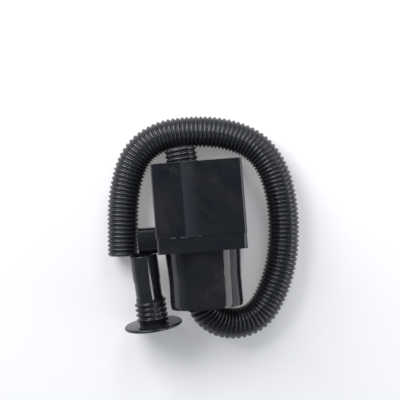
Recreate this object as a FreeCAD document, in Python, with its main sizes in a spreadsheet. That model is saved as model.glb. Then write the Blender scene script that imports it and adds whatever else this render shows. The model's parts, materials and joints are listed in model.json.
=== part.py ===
# Rainwater diverter kit, lying on its back as it is laid out for sale.
# A moulded diverter body, a corrugated hose laid round and through it, a flanged tank connector,
# and the connector's back nut and sealing washer, which lie inside the body's box.
# Millimetres. X right, Y along the downpipe towards its upper end, Z up from the surface it lies on.
# The origin is on that surface, under the middle of the box's back wall.

import FreeCAD, Part
import math
import os
import re
import Sketcher
from FreeCAD import Placement, Rotation, Vector

# Driving dimensions, in millimetres and degrees
SIZES = {
    # Box that takes the upper downpipe, 68 round or 65 square
    "box_width": 72.5,
    "box_height": 60,
    "box_wall": 1.75,
    "box_corner": 3.5,
    "box_edge": 0.6,
    # Collar under the box, which holds the catch trough
    "collar_step": 0.4,
    "collar_corner": 5,
    "collar_height": 12,
    "collar_wall": 2,
    "collar_edge": 0.6,
    "floor_thickness": 2,
    # Overflow throat in the middle of the trough
    "throat_bore": 50,
    "throat_wall": 2,
    "throat_rise": 8,
    # Spigot that enters the lower downpipe: a taper, a straight grip, and a lead-in at its mouth
    "spigot_length": 47,
    "spigot_top_diameter": 62.8,
    "spigot_diameter": 60,
    "spigot_grip": 24,
    "spigot_wall": 2,
    "spigot_lead": 0.8,
    "spigot_lead_length": 3.2,
    # Ribs in the box that stop the upper pipe above the trough, two on each wall
    "stop_depth": 38,
    "stop_reach": 6,
    "stop_thickness": 2,
    "stop_spread": 26,
    # Side outlet that the hose is pushed on
    "outlet_diameter": 21.5,
    "outlet_wall": 2,
    "outlet_length": 16,
    "outlet_entry": 4,
    # Hose
    "hose_diameter": 26.5,
    "hose_wall": 1.75,
    # Tank connector
    "flange_diameter": 48.5,
    "flange_thickness": 2.6,
    "flange_edge": 0.8,
    "thread_diameter": 26.4,
    "thread_depth": 1.7,
    "thread_pitch": 4.2,
    "thread_length": 22,
    "thread_start": 0.5,
    "neck_diameter": 21.7,
    "neck_length": 15,
    "tail_diameter": 22.8,
    "tail_length": 21.4,
    "tail_lead": 0.8,
    "connector_bore": 17,
    "connector_across": -45.9,
    "connector_along": -103.2,
    "connector_swing": 3.5,
    "rest_gap": 0.25,
    # Back nut and sealing washer
    "nut_across_flats": 34,
    "nut_height": 8,
    "nut_edge": 0.8,
    "thread_clearance": 0.3,
    "washer_diameter": 39,
    "washer_thickness": 3,
    "nut_across": 0,
    "nut_along": 9.6,
}

# Points that the hose's middle line turns at: across, along and the height of its underside.
# From the end that stands out of the box, down through the body, round the spigot's right side,
# over the top and down to the free end on the left.
HOSE_ROUTE = [
    (-12.4, 42.8, 13.6),
    (-9.5, 12.0, 14.6),
    (-6.8, -20.0, 14.2),
    (-5.9, -48.0, 13.4),
    (-5.6, -72.0, 11.7),
    (-4.4, -90.3, 9.4),
    (6.7, -103.7, 5.6),
    (23.5, -108.3, 2.4),
    (40.5, -103.8, 0.6),
    (53.1, -89.4, 0.0),
    (65.0, -62.6, 0.0),
    (70.1, -33.0, 0.0),
    (70.0, -4.0, 0.0),
    (64.4, 22.3, 0.0),
    (50.3, 42.8, 0.0),
    (25.7, 54.7, 0.0),
    (-2.0, 58.7, 0.0),
    (-30.3, 56.3, 0.0),
    (-51.7, 40.7, 0.0),
    (-62.3, 12.9, 0.0),
    (-66.1, -16.0, 0.0),
    (-67.4, -43.3, 0.0),
]
ARC_SHARE = 0.45

doc = FreeCAD.newDocument("rainwater_diverter")
dims = doc.addObject("Spreadsheet::Sheet", "dims")
for row, (alias, value) in enumerate(SIZES.items(), start=1):
    dims.set(f"A{row}", alias)
    dims.set(f"B{row}", str(value))
    dims.setAlias(f"B{row}", alias)
doc.recompute()


def size(formula):
    """The value of a formula on the sheet's names."""
    return float(dims.evalExpression(formula))


def on_sheet(formula):
    """The same formula, for an object that isn't the sheet."""
    return re.sub(r"[a-z]\w*", lambda word: f"<<dims>>.{word[0]}" if word[0] in SIZES else word[0], formula)


def bind(thing, property_path, formula):
    thing.setExpression(property_path, on_sheet(formula))


def new_sketch(body, name, role, offset=None):
    """A sketch on one of the body's own planes, moved along the plane's normal by a formula."""
    sketch = body.newObject("Sketcher::SketchObject", name)
    plane = next(f for f in body.Origin.OriginFeatures if f.Role == role)
    sketch.AttachmentSupport = [(plane, "")]
    sketch.MapMode = "FlatFace"
    if offset:
        bind(sketch, "AttachmentOffset.Base.z", offset)
    return sketch


def fix_point(sketch, geometry, end, across, up):
    """Holds a point of the sketch at two formulas, measured from the sketch's origin."""
    for kind, axis, formula in (("DistanceX", -2, across), ("DistanceY", -1, up)):
        if formula == "0":
            sketch.addConstraint(Sketcher.Constraint("PointOnObject", geometry, end, axis))
        else:
            held = Sketcher.Constraint(kind, -1, 1, geometry, end, size(formula))
            bind(sketch, f"Constraints[{sketch.addConstraint(held)}]", formula)


def draw_polygon(sketch, corners):
    """A closed outline with its corners at pairs of formulas."""
    first = sketch.GeometryCount
    spots = [Vector(size(across), size(up), 0) for across, up in corners]
    for here, there in zip(spots, spots[1:] + spots[:1]):
        sketch.addGeometry(Part.LineSegment(here, there), False)
    for number, (across, up) in enumerate(corners):
        after = first + (number + 1) % len(corners)
        sketch.addConstraint(Sketcher.Constraint("Coincident", first + number, 2, after, 1))
        fix_point(sketch, first + number, 1, across, up)


def draw_circle(sketch, across, up, radius):
    middle = Vector(size(across), size(up), 0)
    circle = sketch.addGeometry(Part.Circle(middle, Vector(0, 0, 1), size(radius)), False)
    held = sketch.addConstraint(Sketcher.Constraint("Radius", circle, size(radius)))
    bind(sketch, f"Constraints[{held}]", radius)
    if (across, up) == ("0", "0"):
        sketch.addConstraint(Sketcher.Constraint("Coincident", circle, 3, -1, 1))
    else:
        fix_point(sketch, circle, 3, across, up)


def draw_rounded_square(sketch, half, radius):
    """A square about the origin with round corners: an arc, then a side, four times over."""
    flat, turn = size(f"{half} - ({radius})"), size(radius)
    signs = [(1, 1), (-1, 1), (-1, -1), (1, -1)]
    for quarter, (east, north) in enumerate(signs):
        middle = Vector(east * flat, north * flat, 0)
        begin = quarter * math.pi / 2
        round_corner = Part.Circle(middle, Vector(0, 0, 1), turn)
        sketch.addGeometry(Part.ArcOfCircle(round_corner, begin, begin + math.pi / 2), False)
        side = Vector(math.cos(begin + math.pi / 2), math.sin(begin + math.pi / 2), 0)
        along = Vector(-side.y, side.x, 0)
        start = middle + side * turn
        sketch.addGeometry(Part.LineSegment(start, start + along * 2 * flat), False)
    for quarter, (east, north) in enumerate(signs):
        arc, line, after = 2 * quarter, 2 * quarter + 1, (2 * quarter + 2) % 8
        sketch.addConstraint(Sketcher.Constraint("Tangent", arc, 2, line, 1))
        sketch.addConstraint(Sketcher.Constraint("Tangent", line, 2, after, 1))
        held = sketch.addConstraint(Sketcher.Constraint("Radius", arc, turn))
        bind(sketch, f"Constraints[{held}]", radius)
        fix_point(sketch, arc, 3, f"{east} * ({half} - ({radius}))", f"{north} * ({half} - ({radius}))")


def add_feature(body, kind, name, sketch, length=None, reverse=False):
    """A feature of the body from a sketch: a length for pads and pockets, a full turn for the rest."""
    feature = body.newObject(f"PartDesign::{kind}", name)
    feature.Profile = sketch
    feature.Reversed = reverse
    if length:
        bind(feature, "Length", length)
    else:
        feature.ReferenceAxis = (sketch, ["V_Axis"])
        feature.Angle = 360
    doc.recompute()
    return feature


def round_edges(body, name, base, radius, chosen, kind="Fillet"):
    """Rounds, or cuts off, the edges of a feature that a test chooses."""
    names = [f"Edge{n}" for n, edge in enumerate(base.Shape.Edges, start=1) if chosen(edge)]
    feature = body.newObject(f"PartDesign::{kind}", name)
    feature.Base = (base, names)
    bind(feature, "Size" if kind == "Chamfer" else "Radius", radius)
    doc.recompute()
    return feature


def level_at(height):
    """A test for edges that lie level at a height."""
    return lambda edge: abs(edge.BoundBox.ZMin - height) < 1e-4 and edge.BoundBox.ZLength < 1e-4


def make_diverter_body():
    """One moulding, drawn upright: the box stands on z = 0, collar and spigot hang below it."""
    body = doc.addObject("PartDesign::Body", "diverter_body")
    trough_floor = "(collar_height - floor_thickness)"
    spigot_end = "(collar_height + spigot_length)"
    grip_start = "(collar_height + spigot_length - spigot_grip)"
    collar_half = "box_width / 2 - collar_step"
    outlet_radius = "outlet_diameter / 2 - outlet_wall"
    outlet_level = f"{outlet_radius} - {trough_floor}"

    sketch = new_sketch(body, "box_outline", "XY_Plane")
    draw_rounded_square(sketch, "box_width / 2", "box_corner")
    box = add_feature(body, "Pad", "box", sketch, "box_height")
    ends = level_at(0), level_at(size("box_height"))
    round_edges(body, "box_rounding", box, "box_edge", lambda edge: any(end(edge) for end in ends))

    sketch = new_sketch(body, "collar_outline", "XY_Plane")
    draw_rounded_square(sketch, collar_half, "collar_corner")
    collar = add_feature(body, "Pad", "collar", sketch, "collar_height", reverse=True)
    round_edges(body, "collar_rounding", collar, "collar_edge", level_at(-size("collar_height")))

    sketch = new_sketch(body, "spigot_section", "XZ_Plane")
    draw_polygon(sketch, [
        ("0", f"-{trough_floor}"),
        ("spigot_top_diameter / 2", f"-{trough_floor}"),
        ("spigot_top_diameter / 2", "-collar_height"),
        ("spigot_diameter / 2", f"-{grip_start}"),
        ("spigot_diameter / 2", f"spigot_lead_length - {spigot_end}"),
        ("spigot_diameter / 2 - spigot_lead", f"-{spigot_end}"),
        ("0", f"-{spigot_end}"),
    ])
    add_feature(body, "Revolution", "spigot", sketch)

    sketch = new_sketch(body, "outlet_outline", "YZ_Plane", "outlet_entry - box_width / 2")
    draw_circle(sketch, "0", outlet_level, "outlet_diameter / 2")
    add_feature(body, "Pad", "outlet", sketch, "outlet_length + outlet_entry", reverse=True)

    sketch = new_sketch(body, "cavity_outline", "XY_Plane", "box_height")
    draw_rounded_square(sketch, "box_width / 2 - box_wall", "box_corner - box_wall")
    add_feature(body, "Pocket", "cavity", sketch, "box_height - floor_thickness")

    sketch = new_sketch(body, "trough_outline", "XY_Plane", "floor_thickness")
    draw_rounded_square(sketch, f"{collar_half} - collar_wall", "collar_corner - collar_wall")
    add_feature(body, "Pocket", "trough", sketch, "collar_height")

    sketch = new_sketch(body, "waterway_section", "XZ_Plane")
    draw_polygon(sketch, [
        ("0", "floor_thickness"),
        ("throat_bore / 2", "floor_thickness"),
        ("throat_bore / 2", "-collar_height"),
        ("spigot_top_diameter / 2 - spigot_wall", "-collar_height"),
        ("spigot_diameter / 2 - spigot_wall", f"-{grip_start}"),
        ("spigot_diameter / 2 - spigot_wall", f"-{spigot_end}"),
        ("0", f"-{spigot_end}"),
    ])
    add_feature(body, "Groove", "waterway", sketch)

    sketch = new_sketch(body, "throat_section", "XZ_Plane")
    draw_polygon(sketch, [
        ("throat_bore / 2", "-collar_height"),
        ("throat_bore / 2 + throat_wall", f"-{trough_floor}"),
        ("throat_bore / 2 + throat_wall", "throat_rise"),
        ("throat_bore / 2", "throat_rise"),
    ])
    add_feature(body, "Revolution", "throat", sketch)

    rib_out = f"({collar_half} - collar_wall / 2)"
    rib_in = f"({collar_half} - collar_wall / 2 - stop_reach)"
    sketch = new_sketch(body, "stop_outline", "XY_Plane", f"-{trough_floor}")
    for side in ("-1", "1"):
        near = f"{side} * (stop_spread - stop_thickness) / 2"
        far = f"{side} * (stop_spread + stop_thickness) / 2"
        draw_polygon(sketch, [(near, rib_in), (far, rib_in), (far, rib_out), (near, rib_out)])
    stops = add_feature(body, "Pad", "pipe_stops", sketch, f"box_height - stop_depth + {trough_floor}")
    ring = body.newObject("PartDesign::PolarPattern", "stop_ring")
    ring.Originals = [stops]
    ring.Axis = (sketch, ["N_Axis"])
    ring.Angle = 360
    ring.Occurrences = 4
    body.Tip = ring
    doc.recompute()

    sketch = new_sketch(body, "outlet_bore_outline", "YZ_Plane", "outlet_entry - box_width / 2")
    draw_circle(sketch, "0", outlet_level, outlet_radius)
    add_feature(body, "Pocket", "outlet_bore", sketch, "outlet_length + outlet_entry")

    body.Placement = Placement(Vector(0, 0, 0), Rotation(Vector(1, 0, 0), -90))
    bind(body, "Placement.Base.y", "-box_height / 2")
    bind(body, "Placement.Base.z", "box_width / 2")
    return body


def route_points():
    return [Vector(across, along, under + size("hose_diameter / 2")) for across, along, under in HOSE_ROUTE]


def make_route(points):
    """The hose's middle line: straight runs joined by arcs as large as the runs allow."""
    edges, radii, last = [], [], points[0]
    for before, corner, after in zip(points, points[1:], points[2:]):
        back = (before - corner).normalize()
        ahead = (after - corner).normalize()
        reach = ARC_SHARE * min(before.distanceToPoint(corner), after.distanceToPoint(corner))
        half_turn = (math.pi - back.getAngle(ahead)) / 2
        radius = reach / math.tan(half_turn)
        inward = (back + ahead).normalize()
        nearest = corner + inward * (radius / math.cos(half_turn) - radius)
        edges.append(Part.LineSegment(last, corner + back * reach).toShape())
        edges.append(Part.Arc(corner + back * reach, nearest, corner + ahead * reach).toShape())
        radii.append(radius)
        last = corner + ahead * reach
    edges.append(Part.LineSegment(last, points[-1]).toShape())
    return Part.Wire(edges), radii


def make_hose():
    """A plain tube of the hose's outer diameter along its route."""
    points = route_points()
    wire, radii = make_route(points)
    route = doc.addObject("Part::Feature", "hose_route")
    route.Shape = wire
    tubes = []
    for name, radius in (("outer", "hose_diameter / 2"), ("inner", "hose_diameter / 2 - hose_wall")):
        section = doc.addObject("Part::Circle", f"hose_{name}_section")
        bind(section, "Radius", radius)
        section.Placement = Placement(points[0], Rotation(Vector(0, 0, 1), points[1] - points[0]))
        tube = doc.addObject("Part::Sweep", f"hose_{name}")
        tube.Sections = [section]
        tube.Spine = (route, [f"Edge{n + 1}" for n in range(len(wire.Edges))])
        tube.Solid = True
        tubes.append(tube)
    hose = doc.addObject("Part::Cut", "hose")
    hose.Base, hose.Tool = tubes
    doc.recompute()
    ring = math.pi * size("(hose_diameter - hose_wall) * hose_wall")
    print("hose: length %.1f, volume / section x length %.4f" % (wire.Length, hose.Shape.Volume / (ring * wire.Length)))
    print("hose radii: " + ", ".join("%.0f" % radius for radius in radii))
    return hose


def resting_tilt():
    """How far the connector tips up, with its flange on the surface and its tail on the hose's free end."""
    across, along, under = HOSE_ROUTE[-1]
    swing = math.radians(size("connector_swing"))
    reach = (along - size("connector_along")) / math.cos(swing)
    sideways = size("connector_across") - reach * math.sin(swing) - across
    apart = size("(hose_diameter + tail_diameter) / 2 + rest_gap")
    hose_middle = under + size("hose_diameter / 2")
    needed = hose_middle + math.sqrt(max(apart ** 2 - sideways ** 2, 0))
    tilt = 0
    for _ in range(30):
        tilt = math.atan2(needed - flange_height(tilt), reach)
    return tilt


def flange_height(tilt):
    """Height of the flange's middle when its rim, past the chamfer, stands on the surface."""
    return size("flange_diameter / 2") * math.cos(tilt) - size("flange_edge") * math.sin(tilt)


def make_tank_connector():
    """One moulding on its own axis: flange at z = 0, then thread, neck and hose tail."""
    body = doc.addObject("PartDesign::Body", "tank_connector")
    core = "(thread_diameter / 2 - thread_depth)"
    thread_end = "(flange_thickness + thread_length)"
    neck_end = "(flange_thickness + thread_length + neck_length)"
    tail_end = "(flange_thickness + thread_length + neck_length + tail_length)"

    sketch = new_sketch(body, "connector_section", "XZ_Plane")
    draw_polygon(sketch, [
        ("connector_bore / 2", "0"),
        ("flange_diameter / 2", "0"),
        ("flange_diameter / 2", "flange_thickness"),
        (core, "flange_thickness"),
        (core, thread_end),
        ("neck_diameter / 2", thread_end),
        ("neck_diameter / 2", neck_end),
        ("tail_diameter / 2", neck_end),
        ("tail_diameter / 2", f"{tail_end} - tail_lead"),
        ("tail_diameter / 2 - tail_lead", tail_end),
        ("connector_bore / 2", tail_end),
    ])
    turned = add_feature(body, "Revolution", "turned_form", sketch)
    rim = size("flange_diameter")
    round_edges(body, "flange_chamfer", turned, "flange_edge",
                lambda edge: edge.BoundBox.ZLength < 1e-4 and abs(edge.BoundBox.XLength - rim) < 1e-3,
                kind="Chamfer")

    sketch = new_sketch(body, "thread_section", "XZ_Plane")
    root, crest, sunk = "thread_pitch * 0.8", "thread_pitch * 0.3", "thread_depth * 0.2"
    start = "flange_thickness + thread_start"
    draw_polygon(sketch, [
        (f"{core} - {sunk}", start),
        ("thread_diameter / 2", f"{start} + ({root} - {crest}) / 2"),
        ("thread_diameter / 2", f"{start} + ({root} + {crest}) / 2"),
        (f"{core} - {sunk}", f"{start} + {root}"),
    ])
    thread = body.newObject("PartDesign::AdditiveHelix", "thread")
    thread.Profile = sketch
    thread.ReferenceAxis = (sketch, ["V_Axis"])
    thread.Mode = "pitch-height-angle"
    bind(thread, "Pitch", "thread_pitch")
    bind(thread, "Height", f"thread_length - {root} - 2 * thread_start")
    doc.recompute()

    tilt = resting_tilt()
    swing = math.radians(size("connector_swing"))
    axis = Vector(-math.sin(swing) * math.cos(tilt), math.cos(swing) * math.cos(tilt), math.sin(tilt))
    middle = Vector(size("connector_across"), size("connector_along"), flange_height(tilt))
    body.Placement = Placement(middle, Rotation(Vector(0, 0, 1), axis))
    print("connector: tilt %.2f, flange at %s, axis %s" % (math.degrees(tilt), tuple(middle), tuple(axis)))
    return body


def make_sealing_washer():
    """A flat rubber ring on the inside of the box's back wall."""
    body = doc.addObject("PartDesign::Body", "sealing_washer")
    sketch = new_sketch(body, "washer_outline", "XY_Plane")
    draw_circle(sketch, "0", "0", "washer_diameter / 2")
    draw_circle(sketch, "0", "0", "thread_diameter / 2 + thread_clearance")
    add_feature(body, "Pad", "ring", sketch, "washer_thickness")
    bind(body, "Placement.Base.x", "nut_across")
    bind(body, "Placement.Base.y", "nut_along")
    bind(body, "Placement.Base.z", "box_wall")
    return body


def make_back_nut():
    """A hexagon nut that lies on the washer, with a clear bore for the connector's thread."""
    body = doc.addObject("PartDesign::Body", "back_nut")
    flat, side = "nut_across_flats / 2", "nut_across_flats / sqrt(3)"
    sketch = new_sketch(body, "nut_outline", "XY_Plane")
    draw_polygon(sketch, [
        (side, "0"),
        (f"{side} / 2", flat),
        (f"-{side} / 2", flat),
        (f"-{side}", "0"),
        (f"-{side} / 2", f"-{flat}"),
        (f"{side} / 2", f"-{flat}"),
    ])
    hexagon = add_feature(body, "Pad", "hexagon", sketch, "nut_height")
    round_edges(body, "nut_chamfer", hexagon, "nut_edge", level_at(size("nut_height")), kind="Chamfer")
    sketch = new_sketch(body, "nut_bore_outline", "XY_Plane")
    draw_circle(sketch, "0", "0", "thread_diameter / 2 + thread_clearance")
    add_feature(body, "Pocket", "nut_bore", sketch, "nut_height", reverse=True)
    bind(body, "Placement.Base.x", "nut_across")
    bind(body, "Placement.Base.y", "nut_along")
    bind(body, "Placement.Base.z", "box_wall + washer_thickness")
    return body


pieces = [
    make_diverter_body(),
    make_hose(),
    make_tank_connector(),
    make_sealing_washer(),
    make_back_nut(),
]
doc.recompute()

for thing in doc.Objects:
    if "Invalid" in thing.State or "Error" in thing.State:
        raise RuntimeError(f"{thing.Label} failed: {thing.State}")
for piece in pieces:
    if piece.Shape.isNull() or not piece.Shape.isValid():
        raise RuntimeError(f"{piece.Label} has no valid shape")

os.makedirs("parts", exist_ok=True)
for piece in pieces:
    piece.Shape.exportStep(f"parts/{piece.Label}.step")
    box = piece.Shape.BoundBox
    print("%-16s %d solid, %.2f cm3, x %.1f..%.1f, y %.1f..%.1f, z %.2f..%.2f" % (
        piece.Label, len(piece.Shape.Solids), piece.Shape.Volume / 1000,
        box.XMin, box.XMax, box.YMin, box.YMax, box.ZMin, box.ZMax))
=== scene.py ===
import bpy
import json
import math
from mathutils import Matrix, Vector

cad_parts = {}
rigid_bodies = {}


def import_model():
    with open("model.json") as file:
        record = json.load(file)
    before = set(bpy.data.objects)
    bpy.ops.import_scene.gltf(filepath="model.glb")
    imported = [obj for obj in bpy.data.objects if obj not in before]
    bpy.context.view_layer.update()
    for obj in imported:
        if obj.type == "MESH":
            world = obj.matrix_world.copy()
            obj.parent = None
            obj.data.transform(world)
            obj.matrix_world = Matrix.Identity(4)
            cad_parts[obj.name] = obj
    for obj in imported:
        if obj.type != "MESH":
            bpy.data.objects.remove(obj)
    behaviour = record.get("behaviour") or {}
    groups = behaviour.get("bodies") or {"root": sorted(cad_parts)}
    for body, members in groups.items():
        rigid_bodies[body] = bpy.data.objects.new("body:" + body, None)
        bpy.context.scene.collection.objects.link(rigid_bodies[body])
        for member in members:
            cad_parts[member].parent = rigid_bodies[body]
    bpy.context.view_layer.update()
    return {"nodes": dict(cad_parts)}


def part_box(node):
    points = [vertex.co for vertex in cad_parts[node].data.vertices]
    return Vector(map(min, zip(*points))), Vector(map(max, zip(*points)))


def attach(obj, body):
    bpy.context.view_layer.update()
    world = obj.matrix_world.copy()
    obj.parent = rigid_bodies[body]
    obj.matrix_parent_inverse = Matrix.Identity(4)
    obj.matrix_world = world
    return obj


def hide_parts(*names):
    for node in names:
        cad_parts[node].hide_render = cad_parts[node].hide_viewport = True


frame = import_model()
mm = 0.001
print("frame loaded:", ", ".join(sorted(frame["nodes"])))


def hexToLinear(text):
    parts = [int(text[i:i + 2], 16) / 255 for i in (1, 3, 5)]
    return [p / 12.92 if p <= 0.04045 else ((p + 0.055) / 1.055) ** 2.4 for p in parts] + [1.0]


# adds one node: fixed values and links by socket, settings by name
# Map Range reads from socket 1 to 2 and gives from 3 to 4, and Mix goes from colour 6 to colour 7
def addNode(tree, kind, values=None, links=None, **settings):
    node = tree.nodes.new("ShaderNode" + kind)
    for name, value in settings.items():
        setattr(node, name, value)
    for socket, value in (values or {}).items():
        node.inputs[socket].default_value = value
    for socket, source in (links or {}).items():
        tree.links.new(source, node.inputs[socket])
    return node


def newMaterial(name):
    material = bpy.data.materials.new(name)
    material.use_nodes = True
    material.node_tree.nodes.clear()
    return material, material.node_tree


def selectOnly(piece):
    bpy.ops.object.select_all(action="DESELECT")
    piece.select_set(True)
    bpy.context.view_layer.objects.active = piece


# camera: straight above, turned so that the body leans to the left in the picture
camera = {"height": 0.830, "lens": 86.7, "sensor": 36, "over": (0.9 * mm, -1.2 * mm), "roll": -4.5}


def makeCamera():
    data = bpy.data.cameras.new("camera")
    data.lens = camera["lens"]
    data.sensor_width = camera["sensor"]
    eye = bpy.data.objects.new("camera", data)
    eye.location = (*camera["over"], camera["height"])
    eye.rotation_euler = (0, 0, math.radians(camera["roll"]))
    bpy.context.scene.collection.objects.link(eye)
    bpy.context.scene.camera = eye
    print("camera set")


# black polypropylene from a polished mould: deep gloss, a faint bluish cast, slow waves in the skin,
# brownish haze and hairlines where it has rubbed, loose dust, a painted reflection as a pale band down the
# front, and knock marks on the front's lower edge: worn spots, painted pale to stand for glints there
bodyFinish = {
    "name": "mouldedPolypropylene",
    "black": "#12151b", "streak": "#1f2024", "haze": "#292826", "dust": "#8a8d93",
    "gloss": 0.07, "rubbed": 0.16,  # roughness of the polished and of the rubbed skin
    "wave": 14 * mm, "waveHeight": 0.006 * mm,
    "hairlines": 0.18,
    "dustAbove": 0.74,  # a cell whose shade is above this holds a grain
    # painted reflection: a pale band down the front, sharp on its left edge and fading to the right
    "paintedReflection": {"colour": "#2d2f35", "edge": -12 * mm, "edgeWidth": 0.6 * mm, "faded": 1 * mm},
    # knock marks on the front's lower edge: worn spots, painted pale to stand for glints there
    "knocksAndGlints": {"colour": "#9a9da2", "strength": 0.6, "apart": 9 * mm,
               "above": -30.2 * mm, "below": -29.35 * mm},
    "front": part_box("diverter_body")[1][2] - 0.2 * mm,  # only the box's front is higher
}
# the same plastic from a plainer mould: a little duller
fittingFinish = {
    "name": "mouldedPolypropyleneFitting",
    "black": "#1a1c20", "streak": "#212327", "haze": "#262627", "dust": "#6d7076",
    "gloss": 0.09, "rubbed": 0.2,
    "wave": 7 * mm, "waveHeight": 0.006 * mm,
    "hairlines": 0.24,
    "dustAbove": 0.84,
}
# what both have in common
plastic = {
    "ior": 1.43,
    "streakLength": 50 * mm,
    "patchWidth": 20 * mm, "hazeStrength": 0.75,
    "hairlineApart": 26 * mm, "hairlineWidth": 0.008,  # the width is a step of the noise, about 0.4 mm
    "dustCell": 3 * mm, "grainCore": 0.06, "grainEdge": 0.11,  # radii as shares of the cell
    "markStrength": 0.45,
}


# the box's front: a painted reflection, a pale band sharp on one side and fading on the other, and short
# knock marks on the lower edge, about 5 mm long: worn spots, painted pale to stand for glints there
def paintedFrontReflectionAndKnocks(tree, finish, place, colour):
    reflectionBand, knocksAndGlints = finish["paintedReflection"], finish["knocksAndGlints"]
    axes = addNode(tree, "SeparateXYZ", links={0: place}).outputs
    front = addNode(tree, "Math", {1: finish["front"]}, {0: axes["Z"]}, operation="GREATER_THAN")
    # painted reflection: a pale band on the front only, sharp on the left and fading to the right
    rise = addNode(tree, "MapRange", {1: reflectionBand["edge"] - reflectionBand["edgeWidth"], 2: reflectionBand["edge"]}, {0: axes["X"]})
    fade = addNode(tree, "MapRange", {1: reflectionBand["edge"], 2: reflectionBand["faded"], 3: 1.0, 4: 0.0}, {0: axes["X"]})
    band = addNode(tree, "Math", links={0: rise.outputs[0], 1: fade.outputs[0]}, operation="MULTIPLY")
    band = addNode(tree, "Math", links={0: band.outputs[0], 1: front.outputs[0]}, operation="MULTIPLY")
    colour = addNode(tree, "Mix", {7: hexToLinear(reflectionBand["colour"])},
                     {0: band.outputs[0], 6: colour.outputs[2]}, data_type="RGBA")
    # knock marks along the lower edge: worn spots, rougher, and painted pale to stand for glints
    over = addNode(tree, "Math", {1: knocksAndGlints["above"]}, {0: axes["Y"]}, operation="GREATER_THAN")
    under = addNode(tree, "Math", {1: knocksAndGlints["below"]}, {0: axes["Y"]}, operation="LESS_THAN")
    edge = addNode(tree, "Math", links={0: over.outputs[0], 1: under.outputs[0]}, operation="MULTIPLY")
    edge = addNode(tree, "Math", links={0: edge.outputs[0], 1: front.outputs[0]}, operation="MULTIPLY")
    along = addNode(tree, "TexNoise", {"Scale": 1 / knocksAndGlints["apart"], "Detail": 2}, {"Vector": place})
    short = addNode(tree, "MapRange", {1: 0.54, 2: 0.68, 4: knocksAndGlints["strength"]}, {0: along.outputs[0]})
    knockGlintMask = addNode(tree, "Math", links={0: edge.outputs[0], 1: short.outputs[0]}, operation="MULTIPLY")
    colour = addNode(tree, "Mix", {7: hexToLinear(knocksAndGlints["colour"])},
                     {0: knockGlintMask.outputs[0], 6: colour.outputs[2]}, data_type="RGBA")
    return colour, knockGlintMask


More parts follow.
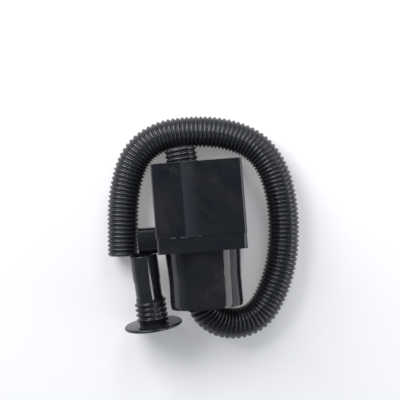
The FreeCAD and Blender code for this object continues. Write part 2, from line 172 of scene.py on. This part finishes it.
def mouldedPlastic(finish):
    material, tree = newMaterial(finish["name"])
    place = addNode(tree, "TexCoord").outputs["Object"]
    # pigment streaks
    streaks = addNode(tree, "TexNoise",
                      {"Scale": 1 / plastic["streakLength"], "Detail": 3, "Distortion": 0.6},
                      {"Vector": place})
    streaks = addNode(tree, "MapRange", {1: 0.35, 2: 0.65}, {0: streaks.outputs[0]})
    colour = addNode(tree, "Mix", {6: hexToLinear(finish["black"]), 7: hexToLinear(finish["streak"])},
                     {0: streaks.outputs[0]}, data_type="RGBA")
    # rubbed patches
    patches = addNode(tree, "TexNoise",
                      {"Scale": 1 / plastic["patchWidth"], "Detail": 5, "Roughness": 0.62},
                      {"Vector": place})
    rubbed = addNode(tree, "MapRange", {1: 0.5, 2: 0.7}, {0: patches.outputs[0]},
                     interpolation_type="SMOOTHSTEP")
    hazy = addNode(tree, "Math", {1: plastic["hazeStrength"]}, {0: rubbed.outputs[0]}, operation="MULTIPLY")
    colour = addNode(tree, "Mix", {7: hexToLinear(finish["haze"])},
                     {0: hazy.outputs[0], 6: colour.outputs[2]}, data_type="RGBA")
    # hairlines: level lines of a slow noise, only in the rubbed patches, drawn wide enough to show
    slow = addNode(tree, "TexNoise",
                   {"Scale": 1 / plastic["hairlineApart"], "Detail": 1.5, "Distortion": 1.2},
                   {"Vector": place})
    offLine = addNode(tree, "Math", {1: 0.5}, {0: slow.outputs[0]}, operation="SUBTRACT")
    offLine = addNode(tree, "Math", links={0: offLine.outputs[0]}, operation="ABSOLUTE")
    hairline = addNode(tree, "MapRange", {2: plastic["hairlineWidth"], 3: finish["hairlines"], 4: 0.0},
                       {0: offLine.outputs[0]})
    hairline = addNode(tree, "Math", links={0: hairline.outputs[0], 1: rubbed.outputs[0]},
                       operation="MULTIPLY")
    # dust: one grain in a few of the cells, drawn wide enough to show
    cells = addNode(tree, "TexVoronoi", {"Scale": 1 / plastic["dustCell"]}, {"Vector": place})
    grain = addNode(tree, "MapRange", {1: plastic["grainCore"], 2: plastic["grainEdge"], 3: 1.0, 4: 0.0},
                    {0: cells.outputs["Distance"]})
    pick = addNode(tree, "Math", {1: finish["dustAbove"]}, {0: cells.outputs["Color"]},
                   operation="GREATER_THAN")
    grain = addNode(tree, "Math", links={0: grain.outputs[0], 1: pick.outputs[0]}, operation="MULTIPLY")
    marks = addNode(tree, "Math", links={0: hairline.outputs[0], 1: grain.outputs[0]}, operation="MAXIMUM")
    marks = addNode(tree, "Math", {1: plastic["markStrength"]}, {0: marks.outputs[0]}, operation="MULTIPLY")
    # the front's painted reflection band, and knock marks that are worn spots painted pale as glints
    if "front" in finish:
        colour, knockGlintMask = paintedFrontReflectionAndKnocks(tree, finish, place, colour)
        marks = addNode(tree, "Math", links={0: marks.outputs[0], 1: knockGlintMask.outputs[0]},
                        operation="MAXIMUM")
    dusty = addNode(tree, "Mix", {7: hexToLinear(finish["dust"])},
                    {0: marks.outputs[0], 6: colour.outputs[2]}, data_type="RGBA")
    rough = addNode(tree, "MapRange", {3: finish["gloss"], 4: finish["rubbed"]}, {0: rubbed.outputs[0]})
    rough = addNode(tree, "Math", links={0: rough.outputs[0], 1: marks.outputs[0]}, operation="ADD",
                    use_clamp=True)
    waves = addNode(tree, "TexNoise", {"Scale": 1 / finish["wave"], "Detail": 1}, {"Vector": place})
    bump = addNode(tree, "Bump", {"Strength": 1.0, "Distance": finish["waveHeight"]},
                   {"Height": waves.outputs[0]})
    shader = addNode(tree, "BsdfPrincipled", {"IOR": plastic["ior"]},
                     {"Base Color": dusty.outputs[2], "Roughness": rough.outputs[0],
                      "Normal": bump.outputs[0]})
    addNode(tree, "OutputMaterial", links={"Surface": shader.outputs[0]})
    return material


# black polyethylene hose, blown into a chain of mould blocks: shiny crests, duller grooves with dust in
# them, and patches where the skin is a little paler and rougher
hoseFinish = {
    "name": "extrudedPolyethylene",
    "black": "#1e2023", "pale": "#25272a", "dust": "#434446",
    "crestGloss": 0.11, "grooveGloss": 0.3,  # roughness
    "uneven": (-0.02, 0.03),  # what the patches add to it
    "ior": 1.48,
    "patchWidth": 12 * mm,
    "lintWidth": 5 * mm,
}


def extrudedPolyethylene():
    material, tree = newMaterial(hoseFinish["name"])
    place = addNode(tree, "TexCoord").outputs["Object"]
    groove = addNode(tree, "Attribute", attribute_name="groove").outputs["Fac"]
    patches = addNode(tree, "TexNoise",
                      {"Scale": 1 / hoseFinish["patchWidth"], "Detail": 4, "Roughness": 0.6},
                      {"Vector": place})
    colour = addNode(tree, "Mix", {6: hexToLinear(hoseFinish["black"]), 7: hexToLinear(hoseFinish["pale"])},
                     {0: patches.outputs[0]}, data_type="RGBA")
    # dust, only low in the grooves
    lint = addNode(tree, "TexNoise", {"Scale": 1 / hoseFinish["lintWidth"], "Detail": 6, "Roughness": 0.7},
                   {"Vector": place})
    lint = addNode(tree, "MapRange", {1: 0.5, 2: 0.75, 4: 0.5}, {0: lint.outputs[0]})
    low = addNode(tree, "MapRange", {1: 0.55, 2: 1.0}, {0: groove})
    dust = addNode(tree, "Math", links={0: lint.outputs[0], 1: low.outputs[0]}, operation="MULTIPLY")
    dusty = addNode(tree, "Mix", {7: hexToLinear(hoseFinish["dust"])},
                    {0: dust.outputs[0], 6: colour.outputs[2]}, data_type="RGBA")
    rough = addNode(tree, "MapRange", {3: hoseFinish["crestGloss"], 4: hoseFinish["grooveGloss"]},
                    {0: groove})
    less, more = hoseFinish["uneven"]
    uneven = addNode(tree, "MapRange", {1: 0.35, 2: 0.7, 3: less, 4: more}, {0: patches.outputs[0]})
    rough = addNode(tree, "Math", links={0: rough.outputs[0], 1: uneven.outputs[0]}, operation="ADD")
    shader = addNode(tree, "BsdfPrincipled", {"IOR": hoseFinish["ior"]},
                     {"Base Color": dusty.outputs[2], "Roughness": rough.outputs[0]})
    addNode(tree, "OutputMaterial", links={"Surface": shader.outputs[0]})
    return material


# moulded rubber: matt, with a fine grain and traces of talc
rubberFinish = {
    "name": "mouldedRubber",
    "black": "#1c1c1d", "talc": "#57585a", "talcStrength": 0.35,
    "smoothest": 0.55, "roughest": 0.75,
    "ior": 1.52,
    "cloudWidth": 6 * mm,
    "grain": 0.5 * mm, "grainHeight": 0.03 * mm,
}


def mouldedRubber():
    material, tree = newMaterial(rubberFinish["name"])
    place = addNode(tree, "TexCoord").outputs["Object"]
    cloud = addNode(tree, "TexNoise",
                    {"Scale": 1 / rubberFinish["cloudWidth"], "Detail": 6, "Roughness": 0.65},
                    {"Vector": place})
    talc = addNode(tree, "MapRange", {1: 0.5, 2: 0.8, 4: rubberFinish["talcStrength"]},
                   {0: cloud.outputs[0]})
    colour = addNode(tree, "Mix",
                     {6: hexToLinear(rubberFinish["black"]), 7: hexToLinear(rubberFinish["talc"])},
                     {0: talc.outputs[0]}, data_type="RGBA")
    rough = addNode(tree, "MapRange",
                    {1: 0.3, 2: 0.7, 3: rubberFinish["smoothest"], 4: rubberFinish["roughest"]},
                    {0: cloud.outputs[0]})
    grain = addNode(tree, "TexNoise", {"Scale": 1 / rubberFinish["grain"], "Detail": 2}, {"Vector": place})
    bump = addNode(tree, "Bump", {"Strength": 1.0, "Distance": rubberFinish["grainHeight"]},
                   {"Height": grain.outputs[0]})
    shader = addNode(tree, "BsdfPrincipled", {"IOR": rubberFinish["ior"]},
                     {"Base Color": colour.outputs[2], "Roughness": rough.outputs[0],
                      "Normal": bump.outputs[0]})
    addNode(tree, "OutputMaterial", links={"Surface": shader.outputs[0]})
    return material


# hose: the route repeats the points that the solid turns at, in millimetres, with the three at the top of
# the loop drawn in by up to 1.3 mm
hose = {
    "diameter": 26.5 * mm,
    "ribPitch": 3.6 * mm,
    "ribDepth": 1.5 * mm,
    "wall": 0.9 * mm,
    "halfColumns": 23,  # columns of points on each half of the mould
    "seamWidth": 0.5 * mm,  # parting line, one along each side
    "seamDip": 0.1 * mm,
    "seamTurn": [78, 80, 82, 86, 108],  # degrees up from the right-hand side, at even steps along the hose
    "halvesShift": 0.3 * mm,  # how far the two halves' ribs miss each other
    "squareEnd": 10 * mm,  # the shift fades out over this length, so that the ends are cut square
    "route": [
        (-12.4, 42.8, 26.85), (-9.5, 12.0, 27.85), (-6.8, -20.0, 27.45), (-5.9, -48.0, 26.65),
        (-5.6, -72.0, 24.95), (-4.4, -90.3, 22.65), (6.7, -103.7, 18.85), (23.5, -108.3, 15.65),
        (40.5, -103.8, 13.85), (53.1, -89.4, 13.25), (65.0, -62.6, 13.25), (70.1, -33.0, 13.25),
        (70.0, -4.0, 13.25), (64.4, 22.3, 13.25), (50.3, 42.8, 13.25), (25.7, 54.0, 13.25),
        (-2.0, 57.4, 13.25), (-30.3, 55.4, 13.25), (-51.7, 40.7, 13.25), (-62.3, 12.9, 13.25),
        (-66.1, -16.0, 13.25), (-67.4, -43.3, 13.25),
    ],
    "routeSteps": 24,  # points read from the spline on each of its stretches
    # share of the pitch, share of the groove's depth: a narrow groove and a broad round crest
    "ribSection": [(0.0, 1.0), (0.09, 0.93), (0.18, 0.55), (0.27, 0.2), (0.38, 0.04),
                   (0.5, 0.0), (0.62, 0.04), (0.73, 0.2), (0.82, 0.55), (0.91, 0.93)],
    "boreEvery": 5,  # the bore follows only the grooves and the crests
    "smoothAngle": 55,
}


def readRoute(points):
    data = bpy.data.curves.new("hoseRoute", "CURVE")
    data.dimensions = "3D"
    data.resolution_u = hose["routeSteps"]
    spline = data.splines.new("NURBS")
    spline.points.add(len(points) - 1)
    for point, place in zip(spline.points, points):
        point.co = (*[c * mm for c in place], 1)
    spline.order_u = 3
    spline.use_endpoint_u = True
    route = bpy.data.objects.new("hoseRoute", data)
    bpy.context.scene.collection.objects.link(route)
    bpy.context.view_layer.update()
    mesh = bpy.data.meshes.new_from_object(route.evaluated_get(bpy.context.evaluated_depsgraph_get()))
    line = [v.co.copy() for v in mesh.vertices]
    bpy.data.meshes.remove(mesh)
    bpy.data.objects.remove(route)
    return line


# stations along the line: place, direction, and the two directions across it, level to the right and up
def walkLine(line, distances):
    stations, run, leg = [], 0.0, 0
    for distance in distances:
        while leg < len(line) - 2 and distance > run + (line[leg + 1] - line[leg]).length:
            run += (line[leg + 1] - line[leg]).length
            leg += 1
        here, there = line[leg], line[leg + 1]
        share = (distance - run) / (there - here).length
        straight = (there - here).normalized()
        before = (here - line[leg - 1]).normalized() if leg else straight
        after = (line[leg + 2] - there).normalized() if leg < len(line) - 2 else straight
        now = ((before + straight) * (1 - share) + (straight + after) * share).normalized()
        across = now.cross(Vector((0, 0, 1))).normalized()
        stations.append((here.lerp(there, share), now, across, across.cross(now)))
    return stations


# where the parting line lies at a share of the hose's length
def seamAt(share):
    turns = hose["seamTurn"]
    step = min(int(share * (len(turns) - 1)), len(turns) - 2)
    part = share * (len(turns) - 1) - step
    return math.radians(turns[step] + (turns[step + 1] - turns[step]) * part)


# angle from the parting line, which half of the mould, and whether it lies on the line
def hoseColumns():
    edge = hose["seamWidth"] / (hose["diameter"] / 2)
    last = hose["halfColumns"] - 1
    columns = []
    for half in (0, 1):
        columns.append((half * math.pi, 0, 1))
        for k in range(hose["halfColumns"]):
            columns.append((half * math.pi + edge + (math.pi - 2 * edge) * k / last, 1 - 2 * half, 0))
    return columns


# rings of points along the outside and back through the bore, the faces between them, and how deep in a
# groove each point lies
def hoseSkin(line, length, ribs):
    pitch = length / ribs
    marks = [((rib + share) * pitch, depth) for rib in range(ribs) for share, depth in hose["ribSection"]]
    marks.append((length, 1.0))
    stations = walkLine(line, [m[0] for m in marks])
    outer = list(range(len(marks)))
    loop = [(i, 0.0) for i in outer] + [(i, hose["wall"]) for i in outer[::hose["boreEvery"]][::-1]]
    columns, radius = hoseColumns(), hose["diameter"] / 2
    verts, faces, groove = [], [], []
    for i, inset in loop:
        (distance, depth), (place, ahead, across, up) = marks[i], stations[i]
        seam = seamAt(distance / length)
        toEnd = min(distance, length - distance)
        shift = hose["halvesShift"] / 2 * min(1, toEnd / hose["squareEnd"])
        for angle, half, onSeam in columns:
            reach = radius - hose["ribDepth"] * depth - inset
            reach -= hose["seamDip"] * onSeam * (1 - depth)
            spoke = across * math.cos(seam + angle) + up * math.sin(seam + angle)
            verts.append(place + spoke * reach + ahead * shift * half)
            groove.append(depth)
    wide = len(columns)
    for ring in range(len(loop)):
        a, b = ring * wide, (ring + 1) % len(loop) * wide
        for k in range(wide):
            n = (k + 1) % wide
            faces.append((a + k, a + n, b + n, b + k))
    return verts, faces, groove


def makeHose():
    line = readRoute(hose["route"])
    length = sum((b - a).length for a, b in zip(line, line[1:]))
    ribs = int(length / hose["ribPitch"])
    verts, faces, groove = hoseSkin(line, length, ribs)
    mesh = bpy.data.meshes.new("corrugatedHose")
    mesh.from_pydata(verts, [], faces)
    mesh.attributes.new("groove", "FLOAT", "POINT").data.foreach_set("value", groove)
    piece = bpy.data.objects.new("corrugated_hose", mesh)
    bpy.context.scene.collection.objects.link(piece)
    selectOnly(piece)
    bpy.ops.object.mode_set(mode="EDIT")
    bpy.ops.mesh.select_all(action="SELECT")
    bpy.ops.mesh.normals_make_consistent(inside=False)
    bpy.ops.object.mode_set(mode="OBJECT")
    bpy.ops.object.shade_smooth_by_angle(angle=math.radians(hose["smoothAngle"]))
    mesh.materials.append(extrudedPolyethylene())
    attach(piece, "root")
    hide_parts("hose")
    print("hose made: %.3f m, %d ribs, %d faces" % (length, ribs, len(faces)))


# the turn of thread inside the back nut, which takes the connector's
nutThread = {
    "pitch": 4.2 * mm,
    "root": 13.56 * mm, "rootWidth": 3.0 * mm,
    "crest": 11.9 * mm, "crestWidth": 1.2 * mm,
    "endGap": 0.4 * mm,
    "stepsPerTurn": 64,
    "smoothAngle": 30,
}


def makeNutThread():
    low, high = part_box("back_nut")
    rise = high[2] - low[2] - nutThread["rootWidth"] - 2 * nutThread["endGap"]
    turns = rise / nutThread["pitch"]
    bottom = low[2] + nutThread["endGap"]
    bottoms = [bottom, bottom + (nutThread["rootWidth"] - nutThread["crestWidth"]) / 2]
    tops = [bottom + nutThread["rootWidth"], bottoms[1] + nutThread["crestWidth"]]
    corners = [(nutThread["root"], bottoms[0]), (nutThread["crest"], bottoms[1]),
               (nutThread["root"], tops[0]), (nutThread["crest"], tops[1])]
    bpy.ops.object.select_all(action="DESELECT")
    bpy.ops.mesh.primitive_plane_add(size=1)
    piece = bpy.context.object
    for vert, (across, height) in zip(piece.data.vertices, corners):
        vert.co = (across, 0, height)
    bpy.ops.object.mode_set(mode="EDIT")
    bpy.ops.mesh.select_all(action="SELECT")
    bpy.ops.mesh.delete(type="ONLY_FACE")
    bpy.ops.object.mode_set(mode="OBJECT")
    helix = piece.modifiers.new("helix", "SCREW")
    helix.angle = turns * 2 * math.pi
    helix.screw_offset = rise
    helix.steps = helix.render_steps = int(nutThread["stepsPerTurn"] * turns)
    bpy.ops.object.modifier_apply(modifier=helix.name)
    bpy.ops.object.mode_set(mode="EDIT")
    bpy.ops.mesh.select_all(action="SELECT")
    bpy.ops.mesh.fill_holes(sides=4)
    bpy.ops.mesh.select_all(action="SELECT")
    bpy.ops.mesh.normals_make_consistent(inside=False)
    bpy.ops.transform.translate(value=((low[0] + high[0]) / 2, (low[1] + high[1]) / 2, 0))
    bpy.ops.object.mode_set(mode="OBJECT")
    bpy.ops.object.shade_smooth_by_angle(angle=math.radians(nutThread["smoothAngle"]))
    return piece


# mouldings: each solid's dressed copy, its material slot, and the angle in degrees up to which it is smooth
mouldings = {
    "diverter_body": {"name": "diverter_moulding", "slot": "moulded_body", "smoothAngle": 35},
    # the connector's thread has soft corners
    "tank_connector": {"name": "connector_moulding", "slot": "moulded_fitting", "smoothAngle": 65},
    "back_nut": {"name": "nut_moulding", "slot": "moulded_fitting", "smoothAngle": 35},
    "sealing_washer": {"name": "washer_ring", "slot": "washer_rubber", "smoothAngle": 35},
}
mergeWithin = 0.002 * mm


# a copy of a solid with its curved faces smooth and its flat ones flat
def smoothCopy(node, name, material, angle):
    piece = frame["nodes"][node].copy()
    piece.data = piece.data.copy()
    piece.name = name
    for key in list(piece.keys()):
        del piece[key]
    piece.parent = None
    bpy.context.scene.collection.objects.link(piece)
    selectOnly(piece)
    # the loaded normals would keep sharp edges from being marked
    bpy.ops.mesh.customdata_custom_splitnormals_clear()
    bpy.ops.object.mode_set(mode="EDIT")
    bpy.ops.mesh.select_all(action="SELECT")
    bpy.ops.mesh.remove_doubles(threshold=mergeWithin)
    bpy.ops.object.mode_set(mode="OBJECT")
    bpy.ops.object.shade_smooth_by_angle(angle=math.radians(angle))
    piece.data.materials.clear()
    piece.data.materials.append(material)
    return piece


def weightNormals(piece):
    selectOnly(piece)
    flat = piece.modifiers.new("flatFaces", "WEIGHTED_NORMAL")
    flat.keep_sharp = True
    flat.weight = 100  # the largest faces alone set the normals
    bpy.ops.object.modifier_apply(modifier=flat.name)


def makeMouldings():
    finishes = {"moulded_body": mouldedPlastic(bodyFinish), "moulded_fitting": mouldedPlastic(fittingFinish),
                "washer_rubber": mouldedRubber()}
    for node, moulding in mouldings.items():
        piece = smoothCopy(node, moulding["name"], finishes[moulding["slot"]], moulding["smoothAngle"])
        if node == "back_nut":
            thread = makeNutThread()
            selectOnly(piece)
            thread.select_set(True)
            bpy.ops.object.join()
        weightNormals(piece)
        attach(piece, "root")
        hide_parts(node)
        print("moulding made:", piece.name, len(piece.data.polygons), "faces")


# floor and sky: the floor shows white to the camera and in reflections, and keeps the shadow
stage = {
    "floor": "#e6e6e6", "floorSize": 6, "floorRoughness": 0.9,
    "glow": 0.2,
    "drop": 0.2 * mm,
    "sky": (0.90, 0.97, 1.12, 1),
    "skyLow": 0.42, "skyOverhead": 0.24,  # strengths: paler low down, as in a room with pale walls
    "lowUpTo": 0.2, "overheadFrom": 0.46,  # heights, where 1 is straight up
}


def makeFloor():
    bpy.ops.object.select_all(action="DESELECT")
    bpy.ops.mesh.primitive_plane_add(size=stage["floorSize"])
    floor = bpy.context.object
    floor.name = "floor"
    floor.location.z = -stage["drop"]
    material, tree = newMaterial("paleFloor")
    path = addNode(tree, "LightPath").outputs
    seen = addNode(tree, "Math", links={0: path["Is Camera Ray"], 1: path["Is Glossy Ray"]},
                   operation="MAXIMUM")
    seen = addNode(tree, "Math", links={0: seen.outputs[0], 1: path["Is Transmission Ray"]},
                   operation="MAXIMUM")
    glow = addNode(tree, "Math", {1: stage["glow"]}, {0: seen.outputs[0]}, operation="MULTIPLY")
    shader = addNode(tree, "BsdfPrincipled",
                     {"Base Color": hexToLinear(stage["floor"]), "Roughness": stage["floorRoughness"],
                      "Emission Color": (1, 1, 1, 1)},
                     {"Emission Strength": glow.outputs[0]})
    addNode(tree, "OutputMaterial", links={"Surface": shader.outputs[0]})
    floor.data.materials.append(material)
    print("floor set")


def makeSky():
    world = bpy.data.worlds.new("studio")
    world.use_nodes = True
    tree = world.node_tree
    tree.nodes.clear()
    way = addNode(tree, "TexCoord").outputs["Generated"]
    height = addNode(tree, "SeparateXYZ", links={0: way}).outputs["Z"]
    strength = addNode(tree, "MapRange",
                       {1: stage["lowUpTo"], 2: stage["overheadFrom"],
                        3: stage["skyLow"], 4: stage["skyOverhead"]},
                       {0: height}, interpolation_type="SMOOTHSTEP")
    sky = addNode(tree, "Background", {"Color": stage["sky"]}, {"Strength": strength.outputs[0]})
    addNode(tree, "OutputWorld", links={"Surface": sky.outputs[0]})
    bpy.context.scene.world = world
    print("sky set")


# softboxes: a long low one on the right for the spigot's streak, the large key in the far left for the
# hose's ribs, a weak one in the far right, and two that light one piece only: a narrow upright one in the
# near right for the connector's streak, and a steep one that reaches the hose's bottom bend over the body
lights = [
    {"name": "rightBox", "place": (0.95, -0.05, 0.285), "size": (1.2, 0.42), "watts": 5.6},
    {"name": "farLeftBox", "place": (-0.622, 0.691, 0.716), "size": (0.74, 0.80), "watts": 14.5},
    {"name": "farRightBox", "place": (0.318, 0.874, 0.716), "size": (0.45, 0.8), "watts": 4.0},
    {"name": "nearRightStrip", "place": (0.675, -0.480, 0.839), "size": (0.28, 0.6), "watts": 5.4,
     "only": "connector_moulding"},
    {"name": "steepBox", "place": (-0.12, 0.449, 1.037), "size": (0.6, 0.3), "watts": 3.4,
     "only": "corrugated_hose"},
]
aim = Vector((0, 0, 0.04))


def makeLights():
    for light in lights:
        data = bpy.data.lights.new(light["name"], "AREA")
        data.shape = "RECTANGLE"
        data.size, data.size_y = light["size"]
        data.energy = light["watts"]
        lamp = bpy.data.objects.new(light["name"], data)
        lamp.location = light["place"]
        lamp.rotation_euler = (aim - lamp.location).to_track_quat("-Z", "Y").to_euler()
        bpy.context.scene.collection.objects.link(lamp)
        if "only" in light:
            lit = bpy.data.collections.new(light["name"])
            lit.objects.link(bpy.data.objects[light["only"]])
            lamp.light_linking.receiver_collection = lit
    print("lights set:", len(lights))


bpy.context.scene.view_settings.view_transform = "Standard"
makeCamera()
makeHose()
makeMouldings()
makeFloor()
makeSky()
makeLights()
